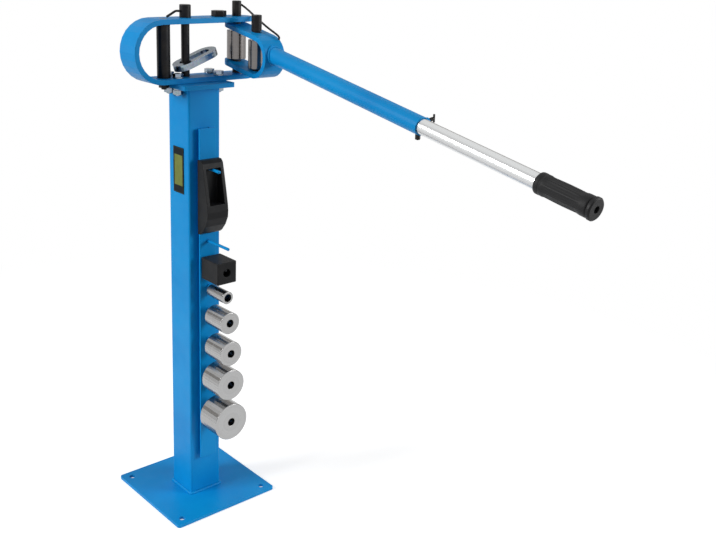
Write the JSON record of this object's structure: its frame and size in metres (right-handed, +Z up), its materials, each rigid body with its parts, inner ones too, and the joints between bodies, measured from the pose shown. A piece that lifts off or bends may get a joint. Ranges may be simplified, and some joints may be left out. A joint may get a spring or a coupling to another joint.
{
  "type": "pedestal tube bender",
  "caption": "Floor-standing tube bender: square column, looped head with pins and dies, swinging yoke with a telescopic lever, and a rack of spare dies.",
  "frame": {"origin": "middle of the base plate's underside", "axes": "+Z up along the column, +X out of the face with the die rack and along the lever at rest, -Y out of the face with the label"},
  "size_m": [0.9783, 0.2812, 1.0291],
  "materials": {
    "blue_paint": "glossy blue powder coat",
    "black_oxide": "black oxide steel",
    "black_casting": "black cast surface, satin",
    "turned_steel": "lathe-turned bright steel",
    "zinc_plate": "bright zinc plate",
    "bright_tube": "bright drawn tube",
    "grip_rubber": "black rubber",
    "label_black": "plain black label"
  },
  "bodies": {
    "stand": {"base_plate": "blue_paint", "column": "blue_paint", "top_plate": "blue_paint", "label_plate": "label_black", "rack_channel": "blue_paint", "peg_3in": "blue_paint", "peg_2_1_2in": "blue_paint", "peg_2in": "blue_paint", "peg_1_3_4in": "blue_paint", "peg_1in": "blue_paint", "peg_square_die": "blue_paint", "peg_spare": "blue_paint", "peg_follow_block": "blue_paint", "head_frame": "blue_paint", "anchor_pin": "black_oxide", "anchor_nut": "black_oxide", "arm_bolt": "black_oxide", "clamp_bolt_1": "zinc_plate", "clamp_bolt_2": "zinc_plate", "clamp_bolt_3": "zinc_plate", "clamp_bolt_4": "zinc_plate", "flat_washer_1": "zinc_plate", "flat_washer_2": "zinc_plate", "flat_washer_3": "zinc_plate", "flat_washer_4": "zinc_plate", "spring_washer_1": "zinc_plate", "spring_washer_2": "zinc_plate", "spring_washer_3": "zinc_plate", "spring_washer_4": "zinc_plate", "clamp_nut_1": "zinc_plate", "clamp_nut_2": "zinc_plate", "clamp_nut_3": "zinc_plate", "clamp_nut_4": "zinc_plate"},
    "lever": {"yoke": "blue_paint", "pivot_pin": "black_oxide", "tie_wire": "black_oxide", "lever_sleeve": "blue_paint", "lock_boss": "blue_paint", "lower_lock_screw": "black_oxide"},
    "lever_tube": {"lever_tube": "bright_tube", "grip": "grip_rubber", "grip_cap": "grip_rubber"},
    "lock_screw": {"lock_screw": "black_oxide", "lock_handle": "black_oxide"},
    "yoke_pin": {"yoke_pin": "black_oxide"},
    "stop_pin": {"stop_pin": "black_oxide", "stop_pin_handle": "black_oxide"},
    "link": {"oval_link": "zinc_plate"},
    "head_die": {"head_die_1_1_2in": "turned_steel"},
    "roller_die": {"roller_die_1_1_4in": "turned_steel"},
    "follow_block": {"follow_block": "black_casting"},
    "square_die": {"square_die": "black_casting"},
    "rack_die_3in": {"rack_die_3in": "turned_steel"},
    "rack_die_2_1_2in": {"rack_die_2_1_2in": "turned_steel"},
    "rack_die_2in": {"rack_die_2in": "turned_steel"},
    "rack_die_1_3_4in": {"rack_die_1_3_4in": "turned_steel"},
    "rack_die_1in": {"rack_die_1in": "turned_steel"}
  },
  "joints": [
    {"name": "lever_swing", "type": "hinge", "parent": "stand", "child": "lever", "pos_m": [0, 0.0995, 0.9452], "axis": [0, 0, 1], "range_deg": [-25, 190]},
    {"name": "lever_telescope", "type": "slide", "parent": "lever", "child": "lever_tube", "axis": [0.9845, 0, -0.1754], "range_m": [-0.22, 0.04]},
    {"name": "lock_screw_turn", "type": "hinge", "parent": "lever", "child": "lock_screw", "pos_m": [0.50765, 0.0995, 0.86696], "axis": [0.0365, 0.9781, 0.2047], "continuous": true},
    {"name": "yoke_pin_lift", "type": "slide", "parent": "lever", "child": "yoke_pin", "axis": [0, 0, 1], "range_m": [0, 0.11]},
    {"name": "stop_pin_lift", "type": "slide", "parent": "stand", "child": "stop_pin", "axis": [0, 0, 1], "range_m": [0, 0.13]},
    {"name": "link_lift", "type": "slide", "parent": "stand", "child": "link", "axis": [0, 0, 1], "range_m": [0, 0.045]},
    {"name": "head_die_turn", "type": "hinge", "parent": "lever", "child": "head_die", "pos_m": [0, 0.0995, 0.9452], "axis": [0, 0, 1], "continuous": true},
    {"name": "roller_die_turn", "type": "hinge", "parent": "lever", "child": "roller_die", "pos_m": [0.066, 0.0995, 0.9335], "axis": [0, 0, 1], "continuous": true},
    {"name": "follow_block_slide", "type": "slide", "parent": "stand", "child": "follow_block", "axis": [1, 0, 0], "range_m": [0, 0.07]},
    {"name": "square_die_slide", "type": "slide", "parent": "stand", "child": "square_die", "axis": [1, 0, 0], "range_m": [-0.009, 0.07]},
    {"name": "rack_die_3in_slide", "type": "slide", "parent": "stand", "child": "rack_die_3in", "axis": [1, 0, 0], "range_m": [-0.026, 0.07]},
    {"name": "rack_die_2_1_2in_slide", "type": "slide", "parent": "stand", "child": "rack_die_2_1_2in", "axis": [1, 0, 0], "range_m": [-0.024, 0.07]},
    {"name": "rack_die_2in_slide", "type": "slide", "parent": "stand", "child": "rack_die_2in", "axis": [1, 0, 0], "range_m": [-0.024, 0.07]},
    {"name": "rack_die_1_3_4in_slide", "type": "slide", "parent": "stand", "child": "rack_die_1_3_4in", "axis": [1, 0, 0], "range_m": [-0.02, 0.07]},
    {"name": "rack_die_1in_slide", "type": "slide", "parent": "stand", "child": "rack_die_1in", "axis": [1, 0, 0], "range_m": [-0.012, 0.07]}
  ]
}
